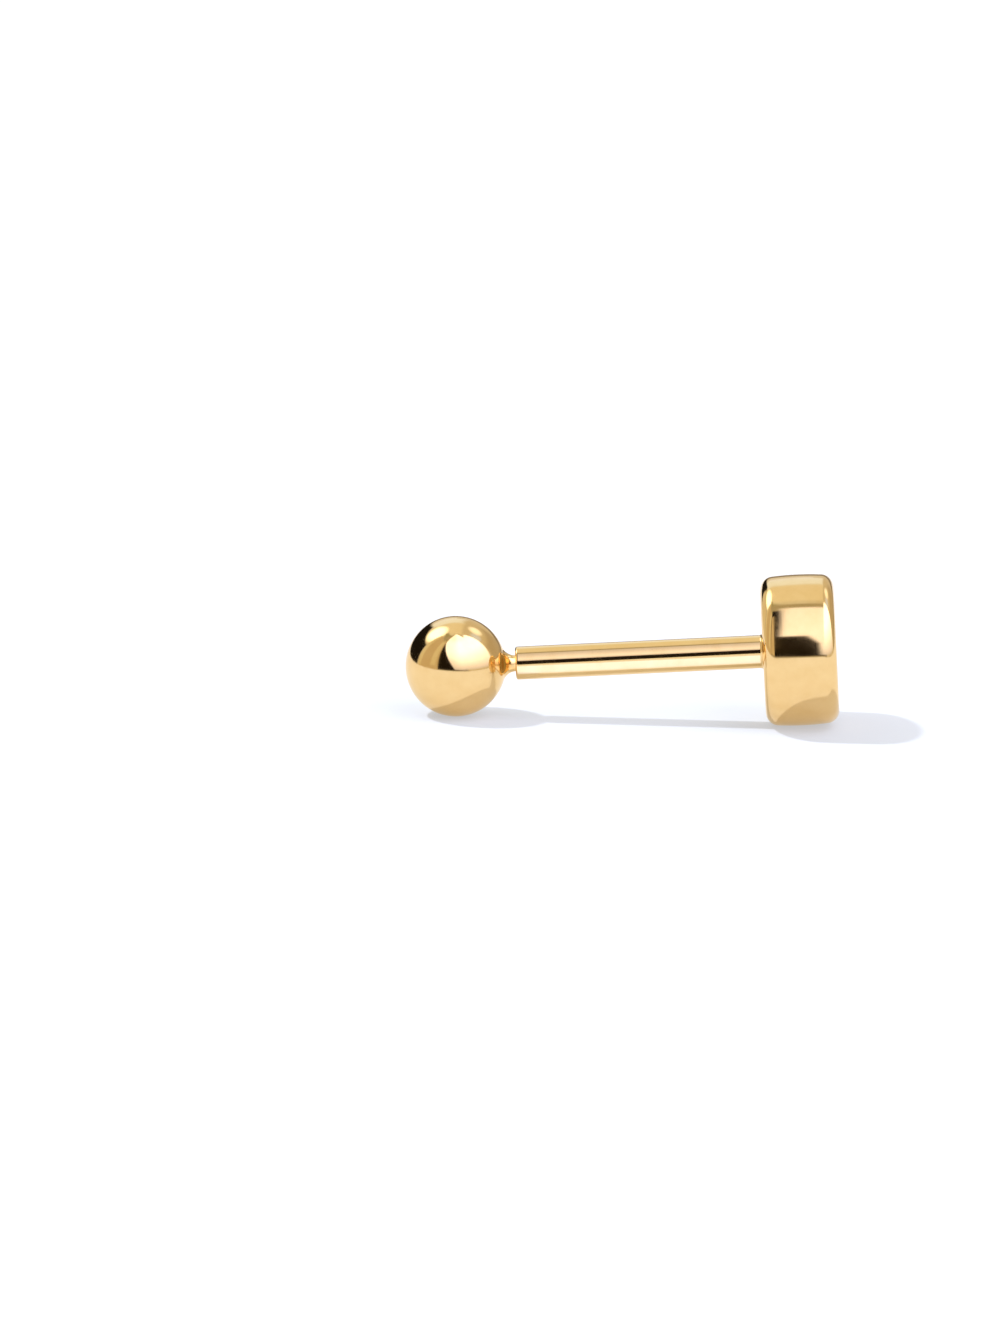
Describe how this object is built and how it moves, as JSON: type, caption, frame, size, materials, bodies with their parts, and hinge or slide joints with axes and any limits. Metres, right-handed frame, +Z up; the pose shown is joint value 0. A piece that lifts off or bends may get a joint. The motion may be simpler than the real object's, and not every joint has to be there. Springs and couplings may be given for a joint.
{
  "type": "screw back stud earring",
  "caption": "Screw back stud earring: a polished ball on a threaded pin, screwed into the hollow post of a thick round disc.",
  "frame": {"origin": "on the surface that the earring lies on, under the middle of its box", "axes": "+X from the ball to the disc, +Z up; the earring's axis lies in the plane Y = 0 and rises 4.32 degrees towards the disc"},
  "size_m": [0.013, 0.0044, 0.0045],
  "materials": {
    "polished_gold": "polished"
  },
  "bodies": {
    "front": {"ball_front": "polished_gold"},
    "back": {"disc_back": "polished_gold"}
  },
  "joints": [
    {"name": "back_unscrew", "type": "slide", "parent": "front", "child": "back", "axis": [0.9972, 0, 0.0752], "range_m": [0, 0.008]}
  ]
}
